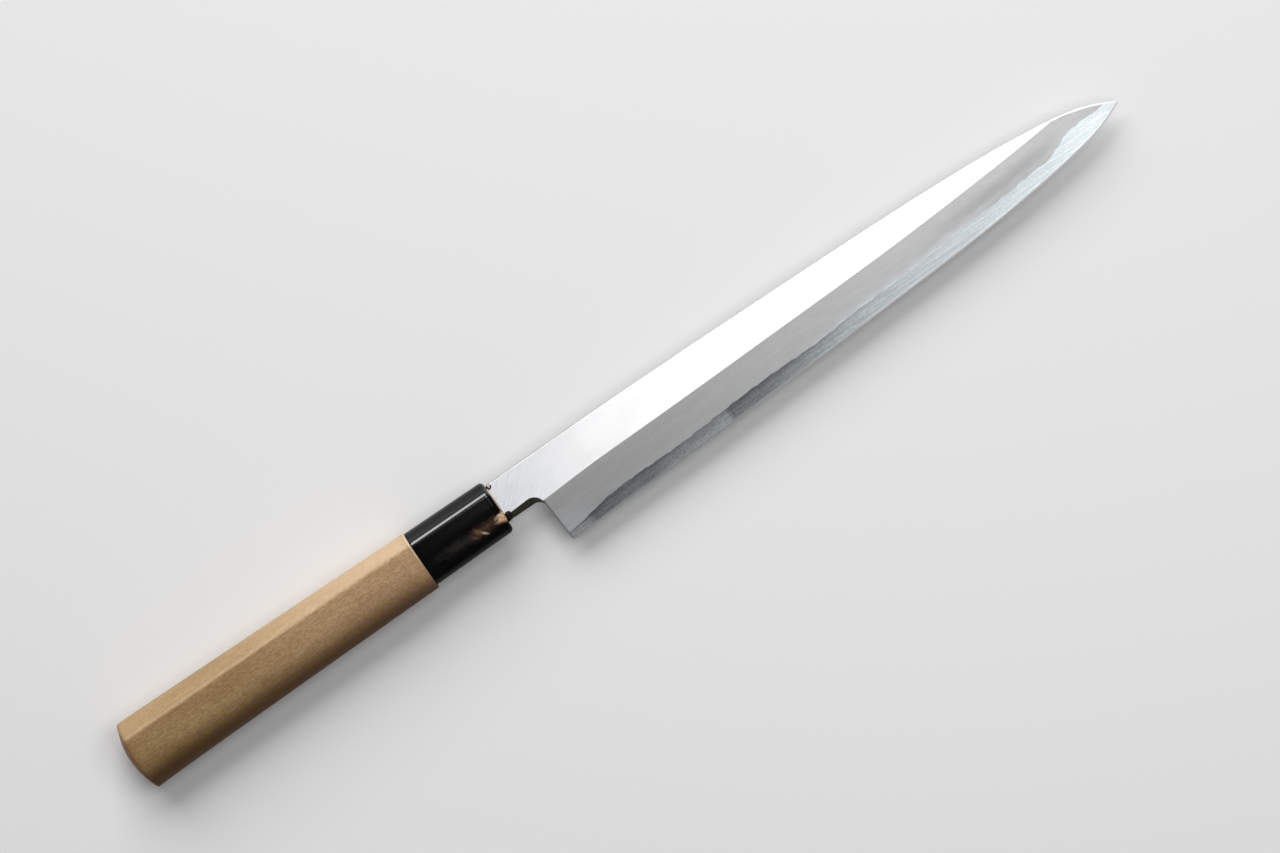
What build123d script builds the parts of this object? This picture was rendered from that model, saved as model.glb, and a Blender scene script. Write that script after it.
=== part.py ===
from build123d import *
import os
from math import cos, pi, sin, sqrt

# A right-handed single-bevel slicing knife for raw fish, lying on its hollow back.
# +X runs along the knife to the tip, +Y across it to the spine, +Z out of the bevelled face.
# While it is built, x is 0 at the collar's front face and y is 0 on the handle's long line.
# The finished pieces are then shifted so that the origin is the middle of the knife's
# footprint, at the level of the surface that it lies on. Lengths are in millimetres.

# Blade, across the knife from the long line: plus is the spine side, minus the edge side
blade_length = 240.0
blade_height = 31.0
spine_thickness_heel = 3.8
spine_thickness_tip = 1.9
spine_easing = 0.45
shoulder_gap = 0.3

# Neck, ground down a little towards the collar, and the slanted finger notch behind the heel
neck_fall = 0.22
neck_fall_length = 34.0
neck_underside = 3.7
neck_rise = 0.5
neck_slant = 2.1
notch_radius = 4.2
notch_radius_back = 3.0
heel_lean = 1.0

# Bevels on the upper face
edge_thickness = 0.2
edge_bevel_width = 0.55
edge_land = 0.04

# Hollow of the back, ground on a large wheel, and the flat rims it leaves
hollow_radius = 240.0
hollow_fade = 0.12
rim_at_edge = 1.7
rim_at_spine = 2.4

# Hard steel layer under the iron, and where its scarf starts in the neck
steel_thickness = 1.1
scarf_start = 2.5

# Tang, inside the handle
tang_length = 96.0
tang_height = 9.2
tang_height_end = 4.2
tang_inset = 0.25
tang_thickness_end = 2.2
tang_top = 5.6
tang_end_top = 1.5
tang_clearance = 0.2
tang_hole_spare = 3.0

# Resin seal in the widened mouth of the tang hole
pocket_depth = 4.0
pocket_wall = 0.7
seal_bead = 1.6
seal_top_bead = 0.95

# Tenon on the wood's front end: the wood left round the pocket, how it grows to its root, and
# how far it stands out of the collar
tenon_wall = 0.7
tenon_cheek = 2.45
tenon_flare = 1.5
tenon_proud = 0.25

# Horn collar: the horn left round the tenon's front end, and how it grows to the wood
ferrule_length = 30.5
ferrule_wall = 3.5
ferrule_cheek = 2.7
ferrule_flare = 0.7
ferrule_lift_front = 0.3
ferrule_lift_back = 0.05
ferrule_rim = 1.5
ferrule_back_rim = 0.3
glue_gap = 0.05

# Wooden handle, with its chestnut section
handle_length = 144.7
handle_proud = 0.65
handle_height_butt = 24.4
handle_thickness_butt = 19.8
handle_drop_front = 0.3
handle_drop_butt = 1.1
handle_belly = 0.7
butt_crown = 3.0
butt_easing = 1.1
shoulder_easing = 0.5

# Flat bands that stand for the handle's gentle belly and for the collar's rounded rim
handle_bands = 4
ferrule_rim_bands = 3

# One length serves wherever a cutter has to run past what it cuts
overrun = 5.0

# Half an oval, in degrees
half_turn = 180

# Lines of the blade: place along it, then spine, bevel line and edge across it.
# Places along are shares of the blade's length, places across shares of its height.
line_shares = (
    (0.059, 0.265, -0.188, -0.726),
    (0.250, 0.275, -0.156, -0.673),
    (0.450, 0.261, -0.113, -0.610),
    (0.630, 0.240, -0.067, -0.539),
    (0.780, 0.198, 0.001, -0.463),
    (0.870, 0.142, 0.055, -0.387),
    (0.920, 0.086, 0.093, -0.329),
    (0.970, -0.021, 0.135, -0.235),
    (1.000, -0.135, 0.161, -0.135),
)
# The spine at the collar, and where the bevel's lines would run on behind the heel and past the tip
spine_root_share = 0.257
bevel_start_shares = (0.030, -0.195, -0.734)
bevel_past_tip_shares = (1.010, 0.170, -0.090)

# The weld wanders as hammered plates do: place along, then height as a share of the steel's thickness
weld_shares = (
    (0.042, 0.66),
    (0.085, 0.78),
    (0.110, 0.95),
    (0.180, 1.09),
    (0.235, 1.00),
    (0.330, 1.04),
    (0.420, 1.01),
    (0.480, 0.91),
    (0.530, 0.96),
    (0.640, 0.90),
    (0.750, 0.92),
    (0.815, 0.83),
    (0.850, 0.82),
    (0.877, 0.77),
    (0.890, 0.84),
    (0.903, 0.98),
    (0.940, 1.03),
    (0.965, 0.86),
    (1.020, 0.76),
)

# How far the notch's slanted walls run on past both faces, as a share of the blade's thickness
notch_run_share = 0.2

# The tenon's rounded corners, as a share of its thickness
tenon_corner_share = 0.44

# The hollow of the back: places along the blade, and how much of the hollow's depth each one has
hollow_shares = ((0.036, 0.0), (0.065, 0.6), (0.110, 1.0), (0.930, 1.0), (0.975, 0.0))

# Chestnut section, as shares of its half height and half thickness
section_lower_shares = ((-1.0, 0.0), (-1.0, 0.62), (-0.15, 0.925), (0.52, 0.988))
section_ridge_shares = ((0.52, 0.988), (0.60, 1.0), (0.645, 0.91))
section_facet_shares = ((0.645, 0.91), (0.885, 0.43))
section_top_shares = ((0.885, 0.43), (0.95, 0.30), (1.0, 0.14), (1.0, 0.0))

# Sizes that follow: each piece of the handle goes round the one inside it
tang_centre = tang_top - tang_height / 2
tang_thickness = spine_thickness_heel - 2 * tang_inset
pocket_height = tang_height + 2 * pocket_wall
pocket_thickness = tang_thickness + 2 * pocket_wall
tenon_height = pocket_height + 2 * tenon_wall
tenon_thickness = pocket_thickness + 2 * tenon_cheek
tenon_corner = tenon_thickness * tenon_corner_share
ferrule_height = tenon_height + 2 * ferrule_wall
ferrule_thickness = tenon_thickness + 2 * ferrule_cheek
handle_height_front = ferrule_height + ferrule_flare + 2 * handle_proud
handle_thickness_front = ferrule_thickness + ferrule_flare + 2 * handle_proud

# The knife's levels: the handle's long line lies half a butt above the table
axis_level = handle_thickness_butt / 2
back_level = axis_level - spine_thickness_heel / 2
upper_level = back_level + spine_thickness_heel


def blend(start, end, share):
    """A value part of the way from start to end."""
    return start + (end - start) * share


def blade_top(x):
    """Height of the flat upper face above the back, which thins towards the tip."""
    return blend(spine_thickness_heel, spine_thickness_tip, x / blade_length)


def across_plane(x, level=0.0):
    """The plane square to the knife at x, whose own axes run to the spine and upwards."""
    return Plane(origin=(x, 0, level), x_dir=(0, 1, 0), z_dir=(1, 0, 0))


def blade_points(column):
    """Points of one of the blade's lines, seen from above."""
    return [(row[0] * blade_length, row[column] * blade_height) for row in line_shares]


def blade_plan():
    """The blade seen from above, with the neck still as deep as the heel."""
    spine = Spline((shoulder_gap, spine_root_share * blade_height), *blade_points(1))
    edge = Spline(*blade_points(3))
    heel = edge @ 0
    behind = Polyline(heel, (shoulder_gap, heel.Y), spine @ 0)
    return make_face(Wire([spine, edge, *behind.edges()]))


def notch_outline(share):
    """Outline of the finger notch at a share of the blade's thickness, from the back upwards."""
    heel = Vector(line_shares[0][0] * blade_length, line_shares[0][3] * blade_height)
    wall = heel.X - heel_lean
    radius = blend(notch_radius_back, notch_radius, share)
    root = -neck_underside - neck_slant * (1 - share)
    crest = root + neck_rise * share
    lean = heel_lean / (crest - radius - heel.Y)
    below = heel.Y - overrun
    notch = CenterArc((wall - radius, crest - radius), radius, 0, 90)
    neck_line = Polyline(notch @ 1, (shoulder_gap, root), (-overrun, root), (-overrun, below))
    heel_line = Polyline((-overrun, below), (heel.X + lean * overrun, below), notch @ 0)
    outline = Wire([notch, *neck_line.edges(), *heel_line.edges()])
    return Pos(0, 0, back_level + spine_thickness_heel * share) * make_face(outline)


def blade_blank():
    """The plan at full thickness, thinned evenly to the tip on its upper face."""
    prism = extrude(Pos(0, 0, back_level) * blade_plan(), spine_thickness_heel + overrun)
    far = blade_length + overrun
    side = Polyline(
        (0, back_level),
        (far, back_level),
        (far, back_level + blade_top(far)),
        (neck_fall_length, back_level + blade_top(neck_fall_length)),
        (0, back_level + blade_top(0) - neck_fall),
        close=True,
    )
    side_face = Plane.XZ * make_face(side)
    blank = prism & extrude(side_face, blade_height, both=True)
    tops = blank.faces().filter_by(lambda face: face.normal_at().Z > 1 / 2)
    spine = [top.edges().sort_by(Axis.Y)[-1] for top in tops]
    return chamfer(spine, spine_easing)


def bevel_section(x, bevel_y, edge_y):
    """What the wide bevel and the narrow cutting bevel take away at one place along the blade."""
    slope = (blade_top(x) - edge_thickness) / (bevel_y - edge_y)
    edge_level = back_level + edge_thickness
    inner = (edge_y + edge_bevel_width, edge_level + slope * edge_bevel_width)
    fine_slope = (inner[1] - back_level - edge_land) / edge_bevel_width
    outer = (edge_y - overrun, back_level + edge_land - fine_slope * overrun)
    far = (bevel_y + overrun, back_level + blade_top(x) + slope * overrun)
    roof = far[1] + overrun
    loop = Polyline(outer, inner, far, (far[0], roof), (outer[0], roof), close=True)
    return across_plane(x) * make_face(loop)


def bevel_cutter():
    """Everything above the two bevels, from behind the heel to past the tip."""
    rows = [bevel_start_shares]
    rows += [(row[0], row[2], row[3]) for row in line_shares]
    rows += [bevel_past_tip_shares]
    sections = [
        bevel_section(along * blade_length, bevel * blade_height, edge * blade_height)
        for along, bevel, edge in rows
    ]
    return loft(sections)


def hollow_section(share, depth_share):
    """One slice of the grinding wheel, pressed into the back between the two flat rims. Without
    depth it stays just below the back."""
    x = share * blade_length
    spine_y = line_at(share, 1) - rim_at_spine
    edge_y = line_at(share, 3) + rim_at_edge
    middle = (spine_y + edge_y) / 2
    half = (spine_y - edge_y) / 2
    crown = back_level + blend(-hollow_fade, half**2 / (2 * hollow_radius), depth_share)
    wide = half + rim_at_edge
    foot = crown - (hollow_radius - sqrt(hollow_radius**2 - wide**2))
    arc = ThreePointArc((middle - wide, foot), (middle, crown), (middle + wide, foot))
    floor = foot - overrun
    base = Polyline(arc @ 1, (middle + wide, floor), (middle - wide, floor), arc @ 0)
    return across_plane(x) * make_face(Wire([arc, *base.edges()]))


def line_at(share, column):
    """Place across of one of the blade's lines, straight between its two nearest points."""
    rows = list(line_shares)
    before = max((row for row in rows if row[0] <= share), default=rows[0])
    after = min((row for row in rows if row[0] > share), default=rows[-1])
    span = after[0] - before[0]
    part = (share - before[0]) / span if span else 0
    return blend(before[column], after[column], part) * blade_height


def hollow_cutter():
    """The long shallow hollow of the back, fading out at the heel and near the tip."""
    whole, narrow = [share for share, depth_share in hollow_shares if depth_share == 1]
    middle = [(row[0], 1) for row in line_shares if whole < row[0] < narrow]
    return loft([hollow_section(*row) for row in sorted([*hollow_shares, *middle])])


def steel_zone():
    """Everything below the weld, from the scarf in the neck to past the tip."""
    heights = [(along * blade_length, back_level + part * steel_thickness) for along, part in weld_shares]
    weld = Spline(*heights)
    scarf = Line((scarf_start, back_level), weld @ 0)
    floor = back_level - overrun
    far = heights[-1][0]
    base = Polyline(weld @ 1, (far, floor), (scarf_start, floor), (scarf_start, back_level))
    side_face = Plane.XZ * make_face(Wire([scarf, weld, *base.edges()]))
    return extrude(side_face, blade_height, both=True)


def tang_shape(clearance=0.0, spare=0.0):
    """The tapered tang with its root inside the neck, or the hole burnt for it."""
    root = overrun
    end = -tang_length - spare
    top = tang_top + clearance
    bottom = tang_top - tang_height - clearance
    end_top = tang_end_top + clearance
    end_bottom = tang_end_top - tang_height_end - clearance
    plan = Polyline((root, top), (end, end_top), (end, end_bottom), (root, bottom), close=True)
    prism = extrude(Pos(0, 0, axis_level) * make_face(plan), spine_thickness_heel, both=True)
    half = tang_thickness / 2 + clearance
    end_half = tang_thickness_end / 2 + clearance
    side = Polyline(
        (root, axis_level + half),
        (end, axis_level + end_half),
        (end, axis_level - end_half),
        (root, axis_level - half),
        close=True,
    )
    return prism & extrude(Plane.XZ * make_face(side), blade_height, both=True)


def handle_section(x, height, thickness, centre):
    """The chestnut section: a half oval on the hidden side, a ridge and a facet on the upper."""
    half = height / 2
    deep = thickness / 2

    def place(shares):
        return [(centre + across * half, up * deep) for across, up in shares]

    oval = EllipticalCenterArc((centre, 0), half, deep, half_turn, arc_size=half_turn)
    lower = Bezier(*place(section_lower_shares))
    ridge = Bezier(*place(section_ridge_shares))
    facet = Line(*place(section_facet_shares))
    top = Bezier(*place(section_top_shares))
    return across_plane(x, axis_level) * make_face(Wire([oval, lower, ridge, facet, top]))


def rounding(radius, steps):
    """Points of a quarter round in steps: distance back from the end face, and how much is taken off."""
    turns = [pi / 2 * step / steps for step in range(steps + 1)]
    return [(radius * (1 - sin(turn)), radius * (1 - cos(turn))) for turn in turns]


def wood_section(x, less=0.0):
    """The wood's section at x, with its belly between collar and butt."""
    share = (-ferrule_length - x) / (handle_length - ferrule_length)
    belly = handle_belly * 4 * share * (1 - share) - 2 * less
    height = blend(handle_height_front, handle_height_butt, share) + belly
    thickness = blend(handle_thickness_front, handle_thickness_butt, share) + belly
    centre = -blend(handle_drop_front, handle_drop_butt, share)
    return handle_section(x, height, thickness, centre)


def ferrule_section(x, less=0.0):
    """The collar's section at x, which grows a little from its front to the wood."""
    share = -x / ferrule_length
    grow = ferrule_flare * share - 2 * less
    centre = blend(ferrule_lift_front, ferrule_lift_back, share)
    return handle_section(x, ferrule_height + grow, ferrule_thickness + grow, centre)


def tenon_section(x, height, thickness, corner):
    """A slice of the tenon with its well rounded corners, or of the bore around it."""
    outline = RectangleRounded(height, thickness, corner)
    return across_plane(x, axis_level) * Pos(tang_centre, 0) * outline


def tenon(gap=0.0, reach=0.0):
    """The tapered tenon, or the bore of the collar with its glue gap, run on past both ends."""
    slope = tenon_flare / ferrule_length
    less = slope * reach - 2 * gap
    more = tenon_flare + slope * reach + 2 * gap
    corner = tenon_corner + gap
    back = -ferrule_length - reach
    front = tenon_section(reach, tenon_height - less, tenon_thickness - less, corner)
    root = tenon_section(back, tenon_height + more, tenon_thickness + more, corner)
    return loft([root, front], ruled=True)


def seal_slot(x, depth):
    """A slot with round corners, wider than the tang all round, as deep as it is told."""
    slot = RectangleRounded(pocket_height, pocket_thickness, pocket_wall)
    return extrude(across_plane(x, axis_level) * Pos(tang_centre, 0) * slot, depth)


def butt_cutter():
    """A block behind the butt with a ball left out of it, which gives the butt its dome."""
    half = handle_height_butt / 2
    radius = (half**2 + butt_crown**2) / (2 * butt_crown)
    ball = Pos(radius - handle_length, -handle_drop_butt, axis_level) * Sphere(radius)
    block = Box(4 * butt_crown, 2 * radius, 2 * radius)
    return Pos(-handle_length, -handle_drop_butt, axis_level) * block - ball


def handle_wood():
    """Handle with its domed butt, tenon and the hole for the tang."""
    shoulder = [(-ferrule_length - back, less) for back, less in rounding(shoulder_easing, 1)]
    far = handle_length + butt_crown
    span = (far - ferrule_length) / handle_bands
    rest = [(-ferrule_length - span * band, 0) for band in range(1, handle_bands + 1)]
    body = loft([wood_section(x, less) for x, less in shoulder[::-1] + rest], ruled=True)
    body = body - butt_cutter()
    body = chamfer(body.edges().group_by(Axis.X)[0], butt_easing)
    body = body + tenon(reach=tenon_proud)
    body = body - tang_shape(tang_clearance, tang_hole_spare)
    return body - seal_slot(-pocket_depth, pocket_depth + overrun)


def ferrule_horn():
    """Collar of the same chestnut section, with rounded front rim and the tenon's tapered bore."""
    rear = [(back - ferrule_length, less) for back, less in rounding(ferrule_back_rim, 1)]
    front = [(-back, less) for back, less in rounding(ferrule_rim, ferrule_rim_bands)]
    body = loft([ferrule_section(x, less) for x, less in rear[::-1] + front], ruled=True)
    return body - tenon(glue_gap, overrun)


def whole_blade():
    """Blade and tang as one forging, before the weld is told apart."""
    notch_cutter = loft([notch_outline(-notch_run_share), notch_outline(1 + notch_run_share)], ruled=True)
    blade = blade_blank() - bevel_cutter() - hollow_cutter() - notch_cutter
    return blade + tang_shape()


def tang_seal(blade):
    """Resin in the pocket, the thin collar it leaves round the neck, and its two beads."""
    fill = seal_slot(-pocket_depth, pocket_depth + shoulder_gap)
    under_y = -neck_underside - seal_bead / 2
    under = Pos(shoulder_gap + seal_bead / 4, under_y, axis_level) * Sphere(seal_bead)
    over_y = tang_centre + tenon_height / 2
    over = Pos(shoulder_gap + seal_top_bead / 2, over_y, upper_level) * Sphere(seal_top_bead)
    behind = Pos(-overrun, 0, axis_level) * Box(2 * overrun, blade_height, handle_thickness_butt)
    return fill + (under + over - behind - tenon(reach=tenon_proud)) - blade


def footprint_corner(solids):
    """The point that becomes the origin: middle of the footprint, at the lowest level."""
    boxes = [solid.bounding_box() for solid in solids]
    low = [min(box.min.X for box in boxes), min(box.min.Y for box in boxes)]
    high = [max(box.max.X for box in boxes), max(box.max.Y for box in boxes)]
    level = min(box.min.Z for box in boxes)
    return ((low[0] + high[0]) / 2, (low[1] + high[1]) / 2, level)


blade = whole_blade()
zone = steel_zone()
pieces = {
    "blade_iron": blade - zone,
    "blade_steel": blade & zone,
    "handle_wood": handle_wood(),
    "ferrule_horn": ferrule_horn(),
    "tang_seal": tang_seal(blade),
}
middle = footprint_corner(pieces.values())
print("origin, from the collar's face on the long line:", middle)
os.makedirs("parts", exist_ok=True)
for name, piece in pieces.items():
    placed = Pos(-middle[0], -middle[1], -middle[2]) * piece
    export_step(placed, f"parts/{name}.step")
    print(name, round(placed.volume, 1))
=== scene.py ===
from copy import copy
from math import radians

import bmesh
import bpy
import numpy as np
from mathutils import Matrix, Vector


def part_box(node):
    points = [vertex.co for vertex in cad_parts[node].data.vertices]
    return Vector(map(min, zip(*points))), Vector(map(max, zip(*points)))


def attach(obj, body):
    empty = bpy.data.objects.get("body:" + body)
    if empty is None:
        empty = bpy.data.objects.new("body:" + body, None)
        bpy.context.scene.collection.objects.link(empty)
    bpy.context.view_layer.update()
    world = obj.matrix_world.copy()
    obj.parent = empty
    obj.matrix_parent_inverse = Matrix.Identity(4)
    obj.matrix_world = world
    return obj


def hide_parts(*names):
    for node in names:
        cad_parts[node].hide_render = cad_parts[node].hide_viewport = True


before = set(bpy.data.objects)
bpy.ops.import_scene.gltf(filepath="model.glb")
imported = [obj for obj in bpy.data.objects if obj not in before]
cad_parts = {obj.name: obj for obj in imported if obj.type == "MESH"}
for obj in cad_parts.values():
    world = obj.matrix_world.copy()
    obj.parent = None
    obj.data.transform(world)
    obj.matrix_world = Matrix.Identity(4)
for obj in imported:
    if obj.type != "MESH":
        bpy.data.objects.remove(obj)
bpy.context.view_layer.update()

# The knife is worked out in its own places, in millimetres: x along it from the collar's front
# face to the tip, y across it from the handle's long line to the spine, z up from the table.
METRES = 0.001

# Points that agree to this are one point
WELD = 1e-4

# Blade
BLADE_LENGTH = 240.0
BLADE_HEIGHT = 31.0
THICK_HEEL = 3.8
THICK_TIP = 1.9
SPINE_EASING = 0.45
SHOULDER = 0.3
NECK_FALL = 0.22
NECK_FALL_LENGTH = 34.0
NECK_UNDER = 3.7
NECK_RISE = 0.5
NECK_SLANT = 2.1
NOTCH_RADIUS = 4.2
NOTCH_RADIUS_BACK = 3.0
HEEL_LEAN = 1.0
HEEL_FADE = 16.0
EDGE_THICK = 0.2
EDGE_BEVEL = 0.55
EDGE_BEVEL_SHARE = 0.45
EDGE_LAND = 0.04
STEEL_THICK = 1.1
SCARF_START = 2.5
HOLLOW_RADIUS = 240.0
RIM_AT_EDGE = 1.7
RIM_AT_SPINE = 2.4
HOLLOW_START = 11.0
HOLLOW_WHOLE = 30.0
ROUNDING_SHARE = 0.75

# Tang, tenon and handle
TANG_LENGTH = 96.0
TANG_ROOT = 5.0
TANG_HEIGHT = 9.2
TANG_HEIGHT_END = 4.2
TANG_THICK = 3.3
TANG_THICK_END = 2.2
TANG_TOP = 5.6
TANG_END_TOP = 1.5
TANG_CLEARANCE = 0.2
TANG_HOLE_SPARE = 3.0
TANG_CENTRE = TANG_TOP - TANG_HEIGHT / 2
POCKET = (10.6, 4.7, 4.0)
TENON = (12.0, 9.6)
TENON_FLARE = 1.5
TENON_PROUD = 0.25
GLUE_GAP = 0.05
COLLAR_LENGTH = 30.5
COLLAR = (19.0, 15.0)
COLLAR_FLARE = 0.7
COLLAR_LIFT = (0.3, 0.05)
COLLAR_RIM = 1.5
COLLAR_BACK_RIM = 0.3
COLLAR_LAST_RING = 0.15
HANDLE_END = 144.7
HANDLE_FRONT = (21.0, 17.0)
HANDLE_BUTT = (24.4, 19.8)
HANDLE_DROP = (0.3, 1.1)
HANDLE_BELLY = 0.7
BUTT_CROWN = 3.0
BUTT_EASING = 1.1
SHOULDER_EASING = 0.5
AXIS = HANDLE_BUTT[1] / 2
BACK = AXIS - THICK_HEEL / 2

# How square the tenon, the seal's pocket and the tang's hole are, as powers of a superellipse
TENON_POWER = 3.0
POCKET_POWER = 9.0
HOLE_POWER = 24.0

# Shares of the blade's length, then of its height: spine, bevel line and edge
LINE_SHARES = np.array([
    (0.059, 0.265, -0.188, -0.726),
    (0.250, 0.275, -0.156, -0.673),
    (0.450, 0.261, -0.113, -0.610),
    (0.630, 0.240, -0.067, -0.539),
    (0.780, 0.198, 0.001, -0.463),
    (0.870, 0.142, 0.055, -0.387),
    (0.920, 0.086, 0.093, -0.329),
    (0.970, -0.021, 0.135, -0.235),
    (1.000, -0.135, 0.161, -0.135),
])
SPINE_ROOT_SHARE = 0.257
BEHIND_HEEL_SHARES = (0.030, -0.195, -0.734)

# The weld between iron and steel: share of the length, then of the steel's thickness
WELD_SHARES = np.array([
    (0.042, 0.66), (0.085, 0.78), (0.110, 0.95), (0.180, 1.09), (0.235, 1.00), (0.330, 1.04),
    (0.420, 1.01), (0.480, 0.91), (0.530, 0.96), (0.640, 0.90), (0.750, 0.92), (0.815, 0.83),
    (0.850, 0.82), (0.877, 0.77), (0.890, 0.84), (0.903, 0.98), (0.940, 1.03), (0.965, 0.86),
    (1.020, 0.76),
])
# Small waves of the weld: their length along the blade, their height and where they start
WELD_WAVES = ((7.3, 0.018, 0.4), (3.9, 0.014, 2.1), (2.1, 0.008, 1.2), (0.9, 0.004, 5.0))

# Steel's tone on the bevel at places along the blade: its own cloudy tone, with the rise towards the tip a
# painted reflection
STEEL_TONES = (
    (14, 0.39), (21, 0.38), (24, 0.195), (45, 0.19), (60, 0.27), (77, 0.27), (78.1, 0.265),
    (79.1, 0.15), (84, 0.155), (95, 0.175), (105, 0.215), (118, 0.32), (127, 0.39), (150, 0.52),
    (180, 0.55), (200, 0.61), (220, 0.70), (232, 0.76),
)

# Chestnut section, as shares of its half height and half thickness. The wood's ridge slides nearer
# the round side by the last two, at the collar and at the butt.
LOWER_SHARES = np.array([(-1.0, 0.0), (-1.0, 0.62), (-0.15, 0.925)])
RIDGE_SHARES = np.array([(0.52, 0.988), (0.60, 1.0), (0.645, 0.91)])
COLLAR_RIDGE_SHARES = np.array([(0.44, 0.9805), (0.60, 1.0), (0.69, 0.82)])
TOP_SHARES = np.array([(0.885, 0.43), (0.95, 0.30), (1.0, 0.14), (1.0, 0.0)])
RIDGE_SLIDE_SHARES = (0.02, 0.065)

# Resin drops: middle with its height over the back, size, and how far it rises as a share of that
DROPS = (
    ((0.7, -4.5, THICK_HEEL / 2), 1.6, 1.0),
    ((1.2, -3.8, THICK_HEEL - 0.2), 1.1, 1.0),
    ((0.85, 7.0, THICK_HEEL - 0.02), 0.95, 0.55),
)
# How much of its depth a drop keeps where it is pressed against the blade or the collar
PRESSED_SHARE = 0.02
# How far a drop swells in and out along two slow waves round it
SWELLING_SHARES = (0.06, 0.04)

# Columns of points along each stretch of the blade, and where the last stretch starts
NECK_COLUMNS, ROUND_COLUMNS, BODY_COLUMNS, POINT_COLUMNS, POINT_SHARE = 14, 29, 330, 60, 0.93

# Rows of faces across each part of the blade
SPINE_ROWS, EASED_ROWS, FLAT_ROWS, RIDGE_ROWS, BEVEL_ROWS, WALL_ROWS = 3, 4, 4, 2, 10, 3
JOINED_ROWS, STEEL_ROWS, EDGE_ROWS, RIM_ROWS, HOLLOW_ROWS = 2, 8, 2, 2, 16

# How finely the curves are read off, from where on the iron's end is looked for, and how often the
# notch's upper edge and its height are found from each other
CURVE_STEPS, IRON_END_SHARE, NOTCH_ROUNDS = 4001, 0.9, 6

# Points along the five pieces of a handle's section, and rings along each stretch
SECTION_POINTS = (96, 72, 24, 10, 30)
DOME_RINGS, EASING_RINGS, WOOD_RINGS, SHOULDER_RINGS, TENON_RINGS, HOLE_RINGS = 25, 8, 61, 5, 8, 10
COLLAR_BACK_RINGS, COLLAR_RINGS, COLLAR_FRONT_RINGS, TANG_RINGS = 3, 16, 12, 12
# Points round a drop and from its top to its bottom
DROP_POINTS = (49, 25)

# Groups of the blade's faces, with a crease between any two
FLAT, BEVEL, SPINE, WALL, JOINED, EDGE, RIM, HOLLOW, TANG, END = range(10)

# Finishes of the iron, of the steel and of the resin, in the order of their materials. The plain one
# of the iron and of the steel is the same.
IRON_FLAT, IRON_BEVEL, PLAIN, IRON_WALL = range(4)
STEEL_BEVEL, STEEL_EDGE, PLAIN, STEEL_RIM, STEEL_HOLLOW, STEEL_WALL = range(6)
DULL, CLEAR = range(2)


def between(start, end, share):
    """A value, or a curve's point, that share of the way from start to end."""
    return start + (end - start) * share


def natural_cubic(knots, values, at):
    """Smooth curve through values: each span is a straight blend plus a cubic bend, where the bends
    at the knots solve the three-band system that keeps the slope unbroken and leaves the ends free."""
    span = np.diff(knots)
    rise = np.diff(values) / span
    inner = np.arange(1, len(knots) - 1)
    system = np.eye(len(knots))
    system[inner, inner - 1] = span[:-1]
    system[inner, inner] = 2 * (span[:-1] + span[1:])
    system[inner, inner + 1] = span[1:]
    right = np.zeros(len(knots))
    right[inner] = 6 * np.diff(rise)
    bend = np.linalg.solve(system, right)
    k = np.clip(np.searchsorted(knots, at) - 1, 0, len(span) - 1)
    a = (knots[k + 1] - at) / span[k]
    b = 1 - a
    cubic = ((a**3 - a) * bend[k] + (b**3 - b) * bend[k + 1]) * span[k] ** 2 / 6
    return a * values[k] + b * values[k + 1] + cubic


def blade_line(column, first):
    """One of the blade's lines as a function of x: a smooth curve through its points, both of its
    coordinates followed by the chord's length, then read off at x."""
    x = np.append(first[0], LINE_SHARES[:, 0]) * BLADE_LENGTH
    y = np.append(first[1], LINE_SHARES[:, column]) * BLADE_HEIGHT
    chord = np.append(0, np.cumsum(np.hypot(np.diff(x), np.diff(y))))
    steps = np.linspace(0, chord[-1], CURVE_STEPS)
    along = natural_cubic(chord, x, steps)
    across = natural_cubic(chord, y, steps)
    return lambda at: np.interp(at, along, across)


spine_y = blade_line(1, (SHOULDER / BLADE_LENGTH, SPINE_ROOT_SHARE))
bevel_y = blade_line(2, BEHIND_HEEL_SHARES[:2])
edge_y = blade_line(3, (BEHIND_HEEL_SHARES[0], BEHIND_HEEL_SHARES[2]))


def taper(x):
    """The blade's thickness at x, which falls evenly from the heel to the tip."""
    return between(THICK_HEEL, THICK_TIP, x / BLADE_LENGTH)


def flat_height(x):
    """Height of the flat upper face over the back: the taper, a little lower on the neck."""
    neck = between(THICK_HEEL - NECK_FALL, taper(NECK_FALL_LENGTH), x / NECK_FALL_LENGTH)
    return np.minimum(taper(x), neck)


def bevel_slope(x):
    """Rise over run of the wide bevel at x."""
    return (taper(x) - EDGE_THICK) / (bevel_y(x) - edge_y(x))


def bevel_height(x, y):
    """Height of the wide bevel's plane over the back at a place."""
    return EDGE_THICK + bevel_slope(x) * (y - edge_y(x))


def weld_height(x):
    """Height of the weld over the back: a scarf up from the neck, then a smooth curve through the
    forged places with a few small waves laid over it."""
    first = WELD_SHARES[0] * (BLADE_LENGTH, STEEL_THICK)
    curve = natural_cubic(WELD_SHARES[:, 0] * BLADE_LENGTH, WELD_SHARES[:, 1] * STEEL_THICK, x)
    waves = sum(high * np.sin(2 * np.pi * x / long + start) for long, high, start in WELD_WAVES)
    calm = np.clip((x - first[0]) / HEEL_FADE, 0, 1) * np.clip((BLADE_LENGTH - x) / HEEL_FADE, 0, 1)
    scarf = first[1] * (x - SCARF_START) / (first[0] - SCARF_START)
    return np.where(x < first[0], np.clip(scarf, 0, first[1]), curve + waves * calm)


def weld_y(x):
    """The weld's line on the wide bevel: where the bevel's plane is as high as the weld."""
    return edge_y(x) + (weld_height(x) - EDGE_THICK) / bevel_slope(x)


WALL_X = LINE_SHARES[0, 0] * BLADE_LENGTH - HEEL_LEAN


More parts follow.
